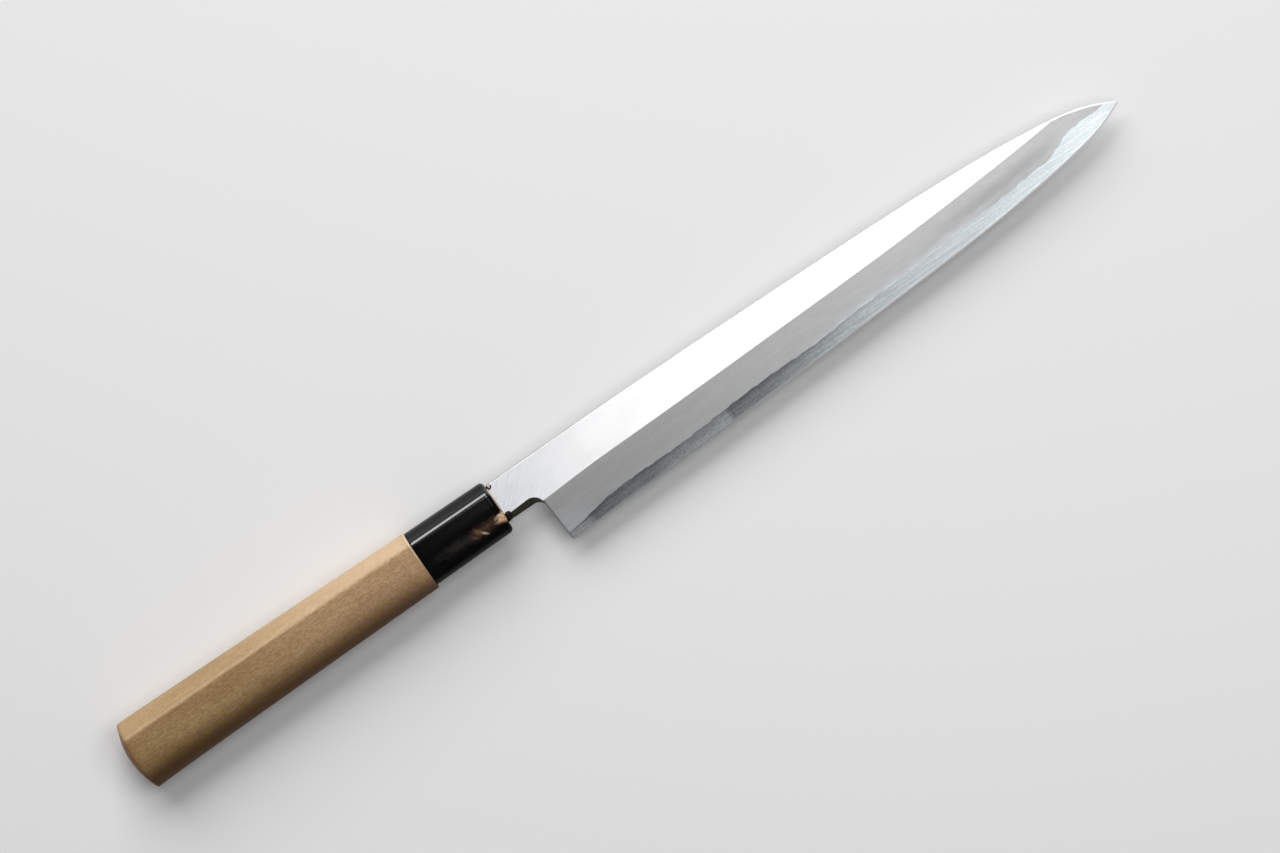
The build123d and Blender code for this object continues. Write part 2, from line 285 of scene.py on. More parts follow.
def notch_shape(share):
    """Root, crest and radius of the finger notch at a share of the thickness, back to upper face."""
    root = -NECK_UNDER - NECK_SLANT * (1 - share)
    return root, root + NECK_RISE * share, between(NOTCH_RADIUS_BACK, NOTCH_RADIUS, share)


def notch_y(x, share):
    """Edge of the neck: a straight line, then a quarter circle that turns down to the heel."""
    root, crest, radius = notch_shape(share)
    start = WALL_X - radius
    straight = between(root, crest, (x - SHOULDER) / (start - SHOULDER))
    over = np.clip(x - start, 0, radius)
    arc = crest - radius + np.sqrt(np.maximum(radius**2 - over**2, 0))
    return np.where(x < start, straight, arc)


def notch_end(share):
    """Where the notch's quarter circle ends and the heel's leaning wall begins."""
    _, crest, radius = notch_shape(share)
    return crest - radius


def heel_shift(y, share):
    """How far the leaning heel wall stands towards the tip at y."""
    end = notch_end(share)
    heel = LINE_SHARES[0, 3] * BLADE_HEIGHT
    return HEEL_LEAN * np.clip((end - y) / (end - heel), 0, 1)


def hollow_lines(x):
    """Middle, half width and height of the back's hollow: a circle's chord between the two rims,
    lowered towards the heel until it fades out in a round end."""
    upper = spine_y(x) - RIM_AT_SPINE
    lower = edge_y(x) + RIM_AT_EDGE
    half = np.maximum((upper - lower) / 2, 0)
    grow = np.clip((x - HOLLOW_START) / (HOLLOW_WHOLE - HOLLOW_START), 0, 1)
    crown = half**2 / (2 * HOLLOW_RADIUS) * (1 - (1 - grow) ** 2)
    return (upper + lower) / 2, np.sqrt(2 * HOLLOW_RADIUS * crown), crown


def hollow_height(x, y):
    """Height of the hollow over the back's plane at a place."""
    middle, _, crown = hollow_lines(x)
    return np.maximum(crown - (y - middle) ** 2 / (2 * HOLLOW_RADIUS), 0)


class Skin:
    """Grids of points that are welded into one closed mesh, with a crease between two groups."""

    def __init__(self):
        self.points, self.quads, self.groups, self.finishes = [], [], [], []
        self.size = 0

    def grid(self, points, group, finish=0):
        """Four-sided faces over a grid of points, rows by columns."""
        points = np.asarray(points, float)
        rows, columns = points.shape[:2]
        index = self.size + np.arange(rows * columns).reshape(rows, columns)
        corners = [index[:-1, :-1], index[1:, :-1], index[1:, 1:], index[:-1, 1:]]
        quads = np.stack(corners, -1).reshape(-1, 4)
        self.points.append(points.reshape(-1, 3))
        self.quads.append(quads)
        self.groups.append(np.full(len(quads), group))
        self.finishes.append(np.full(len(quads), finish))
        self.size += rows * columns

    def ruled(self, first, last, steps, group, finish=0):
        """The surface of straight lines from one curve to another, in that many steps."""
        share = np.linspace(0, 1, steps + 1)[:, None, None]
        self.grid(between(first[None], last[None], share), group, finish)

    def turnings(self, *grids):
        """Grids of rings that follow one another, with a crease between each two."""
        for group, rings in enumerate(grids):
            self.grid(rings, group)

    def mesh(self, name, place, low, high):
        """Welds equal points, drops faces that have shrunk to a line, creases between groups, and
        turns every face outwards. The points are kept within the corners low and high."""
        points = np.clip(np.concatenate(self.points) + place, low, high)
        quads = np.concatenate(self.quads)
        groups = np.concatenate(self.groups)
        finishes = np.concatenate(self.finishes)
        _, first, where = np.unique(
            np.round(points / WELD).astype(np.int64), axis=0, return_index=True, return_inverse=True
        )
        quads = where.reshape(-1)[quads]
        keep = quads != np.roll(quads, 1, axis=1)
        corners = keep.sum(axis=1)
        solid = (corners >= 3) & (quads[:, 0] != quads[:, 2]) & (quads[:, 1] != quads[:, 3])
        quads, keep, corners = quads[solid], keep[solid], corners[solid]
        groups, finishes = groups[solid], finishes[solid]
        used, corner_points = np.unique(quads[keep], return_inverse=True)
        starts = np.concatenate([[0], np.cumsum(corners)[:-1]])
        mesh = bpy.data.meshes.new(name)
        mesh.vertices.add(len(used))
        mesh.vertices.foreach_set("co", (points[first[used]] * METRES).ravel())
        mesh.loops.add(int(corners.sum()))
        mesh.loops.foreach_set("vertex_index", corner_points.reshape(-1).astype(np.int32))
        mesh.polygons.add(len(corners))
        mesh.polygons.foreach_set("loop_start", starts.astype(np.int32))
        mesh.polygons.foreach_set("material_index", finishes.astype(np.int32))
        mesh.polygons.foreach_set("use_smooth", np.ones(len(corners), bool))
        mesh.update(calc_edges=True)
        edge_of = np.empty(len(mesh.loops), np.int32)
        mesh.loops.foreach_get("edge_index", edge_of)
        group_of = np.repeat(groups, corners)
        low = np.full(len(mesh.edges), groups.max())
        high = np.zeros(len(mesh.edges), int)
        np.minimum.at(low, edge_of, group_of)
        np.maximum.at(high, edge_of, group_of)
        mesh.edges.foreach_set("use_edge_sharp", low != high)
        mesh.validate()
        shell = bmesh.new()
        shell.from_mesh(mesh)
        bmesh.ops.recalc_face_normals(shell, faces=shell.faces)
        shell.to_mesh(mesh)
        shell.free()
        return mesh


def rows_of(x, y, z):
    """A curve's points from its coordinates."""
    return np.stack(np.broadcast_arrays(x, y, z), -1).astype(float)


def placed(name, data):
    """A new object in the scene with that name and data."""
    made = bpy.data.objects.new(name, data)
    bpy.context.scene.collection.objects.link(made)
    return made


def finished(skin, name, node, materials):
    """The welded mesh as a piece that stands for a node, with its materials."""
    low, high = [np.array(corner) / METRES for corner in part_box(node)]
    piece = placed(name, skin.mesh(name, PLACE, low, high))
    for material in materials:
        piece.data.materials.append(material)
    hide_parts(node)
    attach(piece, "root")
    return piece


def measured(piece, length_of):
    """Stores at each point of a piece a length in millimetres, worked out from its x and y, under
    the name of the function that gives it."""
    mesh = piece.data
    points = np.empty(3 * len(mesh.vertices))
    mesh.vertices.foreach_get("co", points)
    x, y, _ = (points.reshape(-1, 3) / METRES - PLACE).T
    lengths = mesh.attributes.new(length_of.__name__, "FLOAT", "POINT")
    lengths.data.foreach_set("value", np.asarray(length_of(x, y), np.float32))


def from_edge(x, y):
    """How far a place lies above the edge."""
    return y - edge_y(x)


def from_spine(x, y):
    """How far a place lies below the spine."""
    return spine_y(x) - y


def below_weld(x, y):
    """How far a place lies below the weld's line on the wide bevel."""
    return weld_y(x) - y


def from_heel(x, y):
    """How far towards the tip a place on the wide bevel lies from the heel's leaning wall."""
    return x - WALL_X - heel_shift(y, np.clip(bevel_height(x, y) / THICK_HEEL, 0, 1))


# Blade: columns of points from the shoulder to the tip. Up to the end of the notch's round they
# stand straight across. Past it they lean with the heel's wall and straighten out again.

def blade_columns():
    """Places along the blade of the columns: close at the notch's round, at the weld's end and tip."""
    start = WALL_X - NOTCH_RADIUS
    neck = np.linspace(SHOULDER, start, NECK_COLUMNS)[:-1]
    round_part = start + NOTCH_RADIUS * np.sin(np.linspace(0, np.pi / 2, ROUND_COLUMNS))
    near = np.sort(np.concatenate([neck, [SCARF_START], round_part]))
    body = np.linspace(WALL_X, POINT_SHARE * BLADE_LENGTH, BODY_COLUMNS)[1:]
    point = between(body[-1], BLADE_LENGTH, np.sin(np.linspace(0, np.pi / 2, POINT_COLUMNS)[1:]))
    return near, np.concatenate([near[-1:], body, point])


def iron_end():
    """Where the iron runs out near the tip: the first place whose spine lies below the weld."""
    x = np.linspace(IRON_END_SHARE, 1, CURVE_STEPS) * BLADE_LENGTH
    return x[np.argmax(bevel_height(x, spine_y(x)) < weld_height(x))]


class BladeCurves:
    """The curves along the blade that its faces run between, over a set of columns. Where the bevel
    has eaten the flat face near the tip, its ridge is where its plane meets the spine's easing. On
    the neck the notch's upper edge and its height are found from each other in a few rounds."""

    def __init__(self, x, behind_heel):
        self.x = x
        fade = np.clip(1 - (x - WALL_X) / HEEL_FADE, 0, 1) ** 2
        self.fade = np.zeros_like(x) if behind_heel else fade
        self.slope, self.edge = bevel_slope(x), edge_y(x)
        edge, spine, top = self.edge, spine_y(x), flat_height(x)
        fine = edge + np.minimum(EDGE_BEVEL, EDGE_BEVEL_SHARE * (spine - edge))
        ridge = edge + (top - EDGE_THICK) / self.slope
        eased_y = spine - SPINE_EASING
        meeting = (eased_y + self.slope * ridge) / (1 + self.slope)
        ridge_y = np.where(ridge <= eased_y, ridge, np.minimum(meeting, spine))
        inner_y = np.where(ridge <= eased_y, eased_y, ridge_y)
        inner_z = np.where(ridge <= eased_y, top, np.minimum(top, self.bevel_z(ridge_y)))
        spine_z = np.minimum(top - SPINE_EASING, self.bevel_z(spine))
        weld = np.minimum(weld_height(x), spine_z)
        if behind_heel:
            low_z = top
            for _ in range(NOTCH_ROUNDS):
                low_y = notch_y(x, low_z / THICK_HEEL)
                low_z = np.minimum(top, self.bevel_z(low_y))
            self.low_top = self.at(low_y, low_z)
            self.low_weld = self.at(notch_y(x, weld / THICK_HEEL), weld)
            self.low_foot = self.on_back(notch_y(x, 0.0))
            ridge_y = np.maximum(ridge_y, low_y)
            floor_y = self.low_foot[:, 1]
        else:
            line_y = np.where(weld_height(x) >= spine_z, spine, np.clip(weld_y(x), fine, spine))
            self.weld_line = self.at(line_y, self.bevel_z(line_y))
            self.fine = self.at(fine, self.bevel_z(fine))
            self.land = self.at(edge, EDGE_LAND)
            self.foot = self.at(edge, 0)
            floor_y = edge
        self.spine_foot = self.at(spine, 0)
        self.spine_weld = self.at(spine, weld)
        self.spine_top = self.at(spine, spine_z)
        self.inner = self.at(inner_y, inner_z)
        self.ridge = self.at(ridge_y, np.minimum(top, self.bevel_z(ridge_y)))
        middle, half, _ = hollow_lines(x)
        upper_rim = np.clip(middle + half, floor_y, spine)
        self.upper_rim = self.on_back(upper_rim)
        self.lower_rim = self.on_back(np.clip(middle - half, floor_y, upper_rim))

    def bevel_z(self, y):
        """Height of the wide bevel's plane at y, in each column."""
        return EDGE_THICK + self.slope * (y - self.edge)

    def at(self, y, z):
        """A curve at y and at height z over the back. Its columns lean as the heel's wall does."""
        y = np.broadcast_to(y, self.x.shape)
        z = np.broadcast_to(z, self.x.shape)
        x = self.x + self.fade * heel_shift(y, z / THICK_HEEL)
        return rows_of(x, y, z + BACK)

    def on_back(self, y):
        """A curve at y that lies on the back or in its hollow."""
        curve = self.at(y, 0)
        curve[:, 2] += hollow_height(curve[:, 0], curve[:, 1])
        return curve

    def cut(self, stop):
        """The same curves up to a column."""
        part = copy(self)
        for name, curve in vars(self).items():
            setattr(part, name, curve[:stop])
        return part

    def split(self, upper, lower, start):
        """A curve between two others that starts at the notch's end and keeps its share of the way."""
        share = (upper[0, 1] - start[1]) / (upper[0, 1] - lower[0, 1])
        y = between(upper[:, 1], lower[:, 1], share)
        z = between(upper[:, 2], lower[:, 2], share) - BACK
        curve = self.at(y, z)
        curve[0] = start
        return curve


def eased(low, high, steps):
    """Rows of a small rounding from one curve to another, a parabola pulled towards their corner."""
    corner = rows_of(low[:, 0], low[:, 1], high[:, 2])
    pull = between((low + high) / 2, corner, ROUNDING_SHARE)
    share = np.linspace(0, 1, steps + 1)[:, None, None]
    return (1 - share) ** 2 * low + 2 * share * (1 - share) * pull + share**2 * high


def tang_side(x, clearance=0.0):
    """Top, bottom and half thickness of the tapered tang at x, or of the hole for it."""
    share = (TANG_ROOT - x) / (TANG_ROOT + TANG_LENGTH)
    top = between(TANG_TOP, TANG_END_TOP, share)
    height = between(TANG_HEIGHT, TANG_HEIGHT_END, share)
    half = between(TANG_THICK, TANG_THICK_END, share) / 2
    return top + clearance, top - height - clearance, half + clearance


def tang_ring(x, counts):
    """The tang's section at x as a ring of points, side by side from its lower spine corner."""
    top, bottom, half = tang_side(x)
    corners = [(top, -half), (top, half), (bottom, half), (bottom, -half), (top, -half)]
    ring = []
    for count, start, end in zip(counts, corners, corners[1:]):
        share = np.linspace(0, 1, count + 1)[:-1, None]
        ring.append(between(np.array(start), np.array(end), share))
    ring = np.concatenate(ring + [np.array([corners[0]])])
    return rows_of(x, ring[:, 0], ring[:, 1] + AXIS)


def blade_skins():
    """The iron and the steel, each a closed skin of ruled faces between the blade's curves. The
    notch's three lines go on over the wide blade, so that its faces meet the neck's."""
    near, far = blade_columns()
    last = iron_end()
    far = np.sort(np.append(far, last))
    end = int(np.searchsorted(far, last)) + 1
    neck = BladeCurves(near, True)
    scarf = BladeCurves(near[near >= SCARF_START], True)
    wide = BladeCurves(far, False)
    wide.low_top = wide.split(wide.ridge, wide.fine, neck.low_top[-1])
    wide.low_weld = wide.split(wide.spine_weld, wide.weld_line, neck.low_weld[-1])
    wide.low_foot = wide.split(wide.upper_rim, wide.lower_rim, neck.low_foot[-1])
    uppers = ("spine_weld", "spine_top", "inner", "ridge", "weld_line", "low_top", "low_weld")
    lowers = ("spine_foot", "upper_rim", "low_foot", "lower_rim", "fine", "land", "foot")
    for name in uppers + lowers:
        getattr(wide, name)[-1] = (BLADE_LENGTH, spine_y(BLADE_LENGTH), BACK)
    for name in uppers:
        getattr(wide, name)[end - 1] = wide.spine_top[end - 1]
    body = wide.cut(end)

    iron = Skin()
    for part in (neck, body):
        iron.ruled(part.spine_weld, part.spine_top, SPINE_ROWS, SPINE, PLAIN)
        iron.grid(eased(part.spine_top, part.inner, EASED_ROWS), SPINE, PLAIN)
        iron.ruled(part.inner, part.ridge, FLAT_ROWS, FLAT, IRON_FLAT)
        iron.ruled(part.ridge, part.low_top, RIDGE_ROWS, BEVEL, IRON_BEVEL)
        iron.ruled(part.spine_weld, part.low_weld, JOINED_ROWS, JOINED, PLAIN)
    iron.ruled(body.low_top, body.weld_line, BEVEL_ROWS, BEVEL, IRON_BEVEL)
    iron.ruled(body.low_weld, body.weld_line, BEVEL_ROWS, JOINED, PLAIN)
    iron.ruled(neck.low_top, neck.low_weld, WALL_ROWS, WALL, IRON_WALL)
    heel = [row_between(line[0], body.weld_line[0], BEVEL_ROWS) for line in (body.low_top, body.low_weld)]
    iron.ruled(*heel, WALL_ROWS, WALL, IRON_WALL)
    sides = [
        row_between(neck.spine_weld[0], neck.spine_top[0], SPINE_ROWS),
        eased(neck.spine_top[:1], neck.inner[:1], EASED_ROWS)[:, 0],
        row_between(neck.inner[0], neck.ridge[0], FLAT_ROWS),
        row_between(neck.ridge[0], neck.low_top[0], RIDGE_ROWS),
        row_between(neck.low_top[0], neck.low_weld[0], WALL_ROWS),
        row_between(neck.low_weld[0], neck.spine_weld[0], JOINED_ROWS),
    ]
    shoulder = np.concatenate([side[:-1] for side in sides] + [sides[0][:1]])
    counts = (SPINE_ROWS + EASED_ROWS, FLAT_ROWS + RIDGE_ROWS, WALL_ROWS, JOINED_ROWS)
    tang = [tang_ring(x, counts) for x in np.linspace(SHOULDER, -TANG_LENGTH, TANG_RINGS)]
    iron.grid([shoulder, tang[0]], END, PLAIN)
    iron.grid(tang, TANG, PLAIN)
    iron.grid([tang[-1], heart_of(tang[-1])], END, PLAIN)

    steel = Skin()
    for part in (scarf, wide):
        steel.ruled(part.spine_foot, part.spine_weld, 1, SPINE, PLAIN)
        steel.ruled(part.spine_weld, part.low_weld, JOINED_ROWS, JOINED, PLAIN)
        steel.ruled(part.spine_foot, part.upper_rim, RIM_ROWS, RIM, STEEL_RIM)
    steel.ruled(wide.low_weld, wide.weld_line, BEVEL_ROWS, JOINED, PLAIN)
    steel.ruled(wide.weld_line, wide.fine, STEEL_ROWS, BEVEL, STEEL_BEVEL)
    steel.ruled(wide.fine, wide.land, EDGE_ROWS, EDGE, STEEL_EDGE)
    steel.ruled(wide.land, wide.foot, 1, WALL, STEEL_EDGE)
    steel.ruled(scarf.low_weld, scarf.low_foot, 1, WALL, STEEL_WALL)
    steel.grid(hollowed(scarf.upper_rim, scarf.lower_rim, HOLLOW_ROWS), HOLLOW, STEEL_HOLLOW)
    steel.grid(hollowed(wide.upper_rim, wide.low_foot, HOLLOW_ROWS), HOLLOW, STEEL_HOLLOW)
    steel.grid(hollowed(wide.low_foot, wide.lower_rim, BEVEL_ROWS), HOLLOW, STEEL_HOLLOW)
    steel.ruled(scarf.lower_rim, scarf.low_foot, RIM_ROWS, RIM, STEEL_RIM)
    steel.ruled(wide.lower_rim, wide.foot, STEEL_ROWS + EDGE_ROWS, RIM, STEEL_RIM)
    upper = [
        row_between(wide.low_weld[0], wide.weld_line[0], BEVEL_ROWS),
        row_between(wide.weld_line[0], wide.fine[0], STEEL_ROWS)[1:],
        row_between(wide.fine[0], wide.land[0], EDGE_ROWS)[1:],
    ]
    lower = [
        hollowed(wide.low_foot[:1], wide.lower_rim[:1], BEVEL_ROWS)[:, 0],
        row_between(wide.lower_rim[0], wide.foot[0], STEEL_ROWS + EDGE_ROWS)[1:],
    ]
    steel.ruled(np.concatenate(upper), np.concatenate(lower), 1, WALL, STEEL_WALL)
    return iron, steel


def heart_of(ring):
    """A ring shrunk to its middle."""
    return np.broadcast_to(ring.mean(axis=0), ring.shape)


def row_between(start, end, steps):
    """Evenly spaced points from one point to another."""
    return between(start, end, np.linspace(0, 1, steps + 1)[:, None])


def hollowed(upper, lower, steps):
    """Rows between two curves on the back, raised by the hollow that the grinding wheel leaves."""
    rows = between(upper, lower, np.linspace(0, 1, steps + 1)[:, None, None])
    rows[..., 2] = BACK + hollow_height(rows[..., 0], rows[..., 1])
    return rows


# Handle and collar: rings round the long line, each a section at one place along it

def bezier(shares, steps):
    """Points of a curve through a few shares by repeated straight blends, without its last point."""
    t = np.linspace(0, 1, steps + 1)[:-1, None]
    layer = [np.broadcast_to(point, (steps, 2)) for point in shares]
    while len(layer) > 1:
        layer = [between(start, end, t) for start, end in zip(layer, layer[1:])]
    return layer[0]


def chestnut_section(ridge):
    """Unit section from its spine side down the hidden half oval, up the round side, over the ridge
    and down the facet: a half circle, a cubic, a quadratic, a straight piece and a cubic."""
    turn = -np.linspace(0, np.pi, SECTION_POINTS[0] + 1)[:-1]
    oval = np.stack([np.cos(turn), np.sin(turn)], -1)
    curves = ([*LOWER_SHARES, ridge[0]], ridge, [ridge[2], TOP_SHARES[0]], TOP_SHARES)
    pieces = [bezier(curve, count) for curve, count in zip(curves, SECTION_POINTS[1:])]
    return np.concatenate([oval, *pieces, oval[:1]])


COLLAR_SECTION = chestnut_section(COLLAR_RIDGE_SHARES)
# Directions of the rays from the long line through a section's points
RAYS = chestnut_section(RIDGE_SHARES) * COLLAR
AROUND = np.arctan2(RAYS[:, 1], RAYS[:, 0])


def chestnut_ring(x, section, size, less=0.0):
    """The chestnut section at x, a little smaller all round where its rim is rounded. The size is
    its centre, height and thickness."""
    centre, height, thickness = size
    y = centre + section[:, 0] * (height / 2 - less)
    return rows_of(x, y, AXIS + section[:, 1] * (thickness / 2 - less))


def squarish_ring(x, height, thickness, power, centre=TANG_CENTRE):
    """A rounded rectangle at x as a superellipse: each ray's length is the power mean's inverse of
    how far its two parts reach towards the sides."""
    c, s = np.cos(AROUND), np.sin(AROUND)
    reach = (np.abs(2 * c / height) ** power + np.abs(2 * s / thickness) ** power) ** (-1 / power)
    return rows_of(x, centre + reach * c, AXIS + reach * s)


def pocket_ring(x):
    """The seal's pocket at x."""
    return squarish_ring(x, POCKET[0], POCKET[1], POCKET_POWER)


def tang_hole_ring(x, clearance=0.0):
    """The hole for the tang at x, or the tang itself with no clearance."""
    top, bottom, half = tang_side(x, clearance)
    return squarish_ring(x, top - bottom, 2 * half, HOLE_POWER, (top + bottom) / 2)


def wood_share(x):
    """How far x lies from the collar's end of the wood towards its butt."""
    return (-COLLAR_LENGTH - x) / (HANDLE_END - COLLAR_LENGTH)


def ridge_slide(x):
    """How far the wood's ridge has slid towards the round side at x, as a share."""
    return between(*RIDGE_SLIDE_SHARES, wood_share(x))


def wood_section(x):
    """The wood's unit section at x."""
    return chestnut_section(RIDGE_SHARES - (ridge_slide(x), 0))


def wood_size(x):
    """Centre, height and thickness of the wood at x: an even growth with a shallow belly."""
    share = wood_share(x)
    belly = HANDLE_BELLY * 4 * share * (1 - share)
    height = between(HANDLE_FRONT[0], HANDLE_BUTT[0], share) + belly
    thickness = between(HANDLE_FRONT[1], HANDLE_BUTT[1], share) + belly
    return -between(*HANDLE_DROP, share), height, thickness


def collar_size(x):
    """Centre, height and thickness of the collar at x, which grows evenly from its front."""
    share = -x / COLLAR_LENGTH
    centre = between(*COLLAR_LIFT, share)
    return centre, COLLAR[0] + COLLAR_FLARE * share, COLLAR[1] + COLLAR_FLARE * share


def tenon_ring(x, gap=0.0):
    """The tenon's section at x, or that of the bore round it."""
    grow = -TENON_FLARE * x / COLLAR_LENGTH + 2 * gap
    return squarish_ring(x, TENON[0] + grow, TENON[1] + grow, TENON_POWER)


def from_ridge(x, y):
    """How far a place on the wood lies from its ridge towards the spine side."""
    centre, height, _ = wood_size(x)
    return y - centre - (RIDGE_SHARES[1, 0] - ridge_slide(x)) * height / 2


def rounded_rim(radius, steps):
    """A quarter round: how far back from the end face, and how much less all round."""
    turn = np.linspace(0, np.pi / 2, steps + 1)
    return zip(radius * (1 - np.sin(turn)), radius * (1 - np.cos(turn)))


def dome_ring(share):
    """A ring on the butt's ball: the section shrunk by a share, each point as far back as a ball of
    that crown puts it."""
    half = HANDLE_BUTT[0] / 2
    ball = (half**2 + BUTT_CROWN**2) / (2 * BUTT_CROWN)
    middle = BUTT_CROWN / 2 - HANDLE_END
    centre, height, thickness = wood_size(middle)
    y, z = (wood_section(middle) * share).T
    y = y * (height / 2 - BUTT_EASING)
    z = z * (thickness / 2 - BUTT_EASING)
    sag = ball - np.sqrt(ball**2 - y**2 - z**2)
    return rows_of(sag - HANDLE_END, centre + y, AXIS + z)


def wood_ring(x, place, less=0.0):
    """The wood's section at x, set at that place along the handle."""
    return chestnut_ring(place, wood_section(x), wood_size(x), less)


def wood_skin():
    """Domed butt, long body, shoulder, tenon and the hole for the tang, ring after ring."""
    dome = [dome_ring(share) for share in np.linspace(0, 1, DOME_RINGS)]
    dome_x = dome[-1][:, 0]
    rim_x = dome_x.max() + BUTT_EASING
    corner = wood_ring(rim_x, dome_x)
    side = wood_ring(rim_x, dome_x + BUTT_EASING)
    rim = [(1 - t) ** 2 * dome[-1] + 2 * t * (1 - t) * corner + t**2 * side
           for t in np.linspace(0, 1, EASING_RINGS)[1:-1]]
    body = [side]
    for share in np.linspace(0, 1, WOOD_RINGS)[1:]:
        x = between(rim_x, -COLLAR_LENGTH - SHOULDER_EASING, share)
        body.append(wood_ring(x, between(side[:, 0], x, share)))
    for back, less in rounded_rim(SHOULDER_EASING, SHOULDER_RINGS):
        body.append(wood_ring(-COLLAR_LENGTH, -COLLAR_LENGTH - back, less))
    tenon = [tenon_ring(x) for x in np.linspace(-COLLAR_LENGTH, TENON_PROUD, TENON_RINGS)]
    mouth, bottom = [pocket_ring(x) for x in (TENON_PROUD, -POCKET[2])]
    depths = np.linspace(-POCKET[2], -TANG_LENGTH - TANG_HOLE_SPARE, HOLE_RINGS)
    hole = [tang_hole_ring(x, TANG_CLEARANCE) for x in depths]
    skin = Skin()
    skin.turnings(dome + rim + body, [body[-1], tenon[0]], tenon, [tenon[-1], mouth], [mouth, bottom],
                  [bottom, hole[0]], hole, [hole[-1], heart_of(hole[-1])])
    return skin


def collar_ring(x, less=0.0, offset=0.0):
    """The collar's section at x, perhaps set a little further on."""
    return chestnut_ring(x + offset, COLLAR_SECTION, collar_size(x), less)


def collar_skin():
    """The collar round its bore, with a rounded front rim, ring after ring back to the first."""
    back_rim = rounded_rim(COLLAR_BACK_RIM, COLLAR_BACK_RINGS)
    front_rim = rounded_rim(COLLAR_RIM, COLLAR_FRONT_RINGS)
    along = np.linspace(-COLLAR_LENGTH + COLLAR_BACK_RIM, -COLLAR_RIM, COLLAR_RINGS)[1:]
    along[-1] -= COLLAR_LAST_RING
    rings = [collar_ring(-COLLAR_LENGTH, less, back) for back, less in back_rim][::-1]
    rings += [collar_ring(x) for x in along]
    rings += [collar_ring(-back, less) for back, less in front_rim]
    bore = [tenon_ring(x, GLUE_GAP) for x in np.linspace(0, -COLLAR_LENGTH, TENON_RINGS)]
    skin = Skin()
    skin.turnings(rings + bore[:1], bore, [bore[-1], rings[0]])
    return skin


def pressed(value, wall):
    """What lies below the wall is pressed up to it, down to a small share of its depth."""
    return np.where(value < wall, wall + (value - wall) * PRESSED_SHARE, value)


def drop(centre, size, rise, limit):
    """A drop as a ball with slow swellings, flattened to a share of its height, pressed back to the
    collar's face and to the limit where it lies on the blade."""
    u = np.linspace(0, 2 * np.pi, DROP_POINTS[0])
    v = np.linspace(0, np.pi, DROP_POINTS[1])[:, None]
    double, triple = np.sin(2 * u + 1) * np.sin(v) ** 2, np.cos(3 * u) * np.sin(v) ** 3
    swell = 1 + SWELLING_SHARES[0] * double + SWELLING_SHARES[1] * triple
    swell[:, -1] = swell[:, 0]
    x = centre[0] + size * swell * np.sin(v) * np.cos(u)
    y = centre[1] + size * swell * np.sin(v) * np.sin(u)
    z = BACK + centre[2] + rise * size * swell * np.cos(v) * np.ones_like(u)
    return limit(rows_of(pressed(x, 0), y, z))


def under_neck(points):
    """Presses a drop down from the neck's slanting lower side."""
    root, _, _ = notch_shape((points[..., 2] - BACK) / THICK_HEEL)
    points[..., 1] = -pressed(-points[..., 1], -root)
    return points


def on_spine(points):
    """Presses a drop up from the flat upper face."""
    points[..., 2] = pressed(points[..., 2], BACK + flat_height(0.0))
    return points


def seal_skin():
    """Resin that fills the pocket round the tang, with drops under the neck and one on the face."""
    skin = Skin()
    outer = [pocket_ring(x) for x in (-POCKET[2], SHOULDER)]
    inner = [tang_hole_ring(x) for x in (SHOULDER, -POCKET[2])]
    skin.turnings(outer, [outer[1], inner[0]], inner, [inner[1], outer[0]])
    group = len(skin.groups)
    for values, limit, finish in zip(DROPS, (under_neck, on_spine, on_spine), (DULL, DULL, CLEAR)):
        skin.grid(drop(*values, limit), group, finish)
    return skin


# Finishes. Every pattern is laid out in the knife's own millimetres.

class Value:
    """A number or a colour that one of a finish's nodes gives. Each sum with it is a new node."""

    def __init__(self, finish, socket):
        self.finish, self.socket = finish, socket

    def math(self, kind, *others):
        """Plain arithmetic on this value, perhaps with another."""
        return self.finish.give("ShaderNodeMath", 0, enumerate((self, *others)), operation=kind)

    def __add__(self, other):
        return self.math("ADD", other)

    def __mul__(self, other):
        return self.math("MULTIPLY", other)

    def __rsub__(self, whole):
        return self.finish.give("ShaderNodeMath", 0, {0: whole, 1: self}, operation="SUBTRACT")

    def larger(self, other):
        """This value or the other, whichever is more."""
        return self.math("MAXIMUM", other)

    def slope(self, start, end, low=0.0, high=1.0):
        """An eased step: low up to start, high from end on."""
        fed = {"Value": self, "From Min": start, "From Max": end, "To Min": low, "To Max": high}
        return self.finish.give("ShaderNodeMapRange", "Result", fed, interpolation_type="SMOOTHSTEP")

    def spread(self, low, high, half=0.2):
        """A noise eased from low to high over the middle of its range, that far to each side."""
        return self.slope(0.5 - half, 0.5 + half, low, high)

    def waver(self, share, half=0.2):
        """A factor that a noise moves that share to each side of one."""
        return self.spread(1 - share, 1 + share, half)

    def tinted(self, *tint):
        """A colour of this tone, its three parts scaled by the tint."""
        parts = [self * share for share in tint or (1.0, 1.0, 1.0)]
        return self.finish.give("ShaderNodeCombineColor", 0, enumerate(parts))


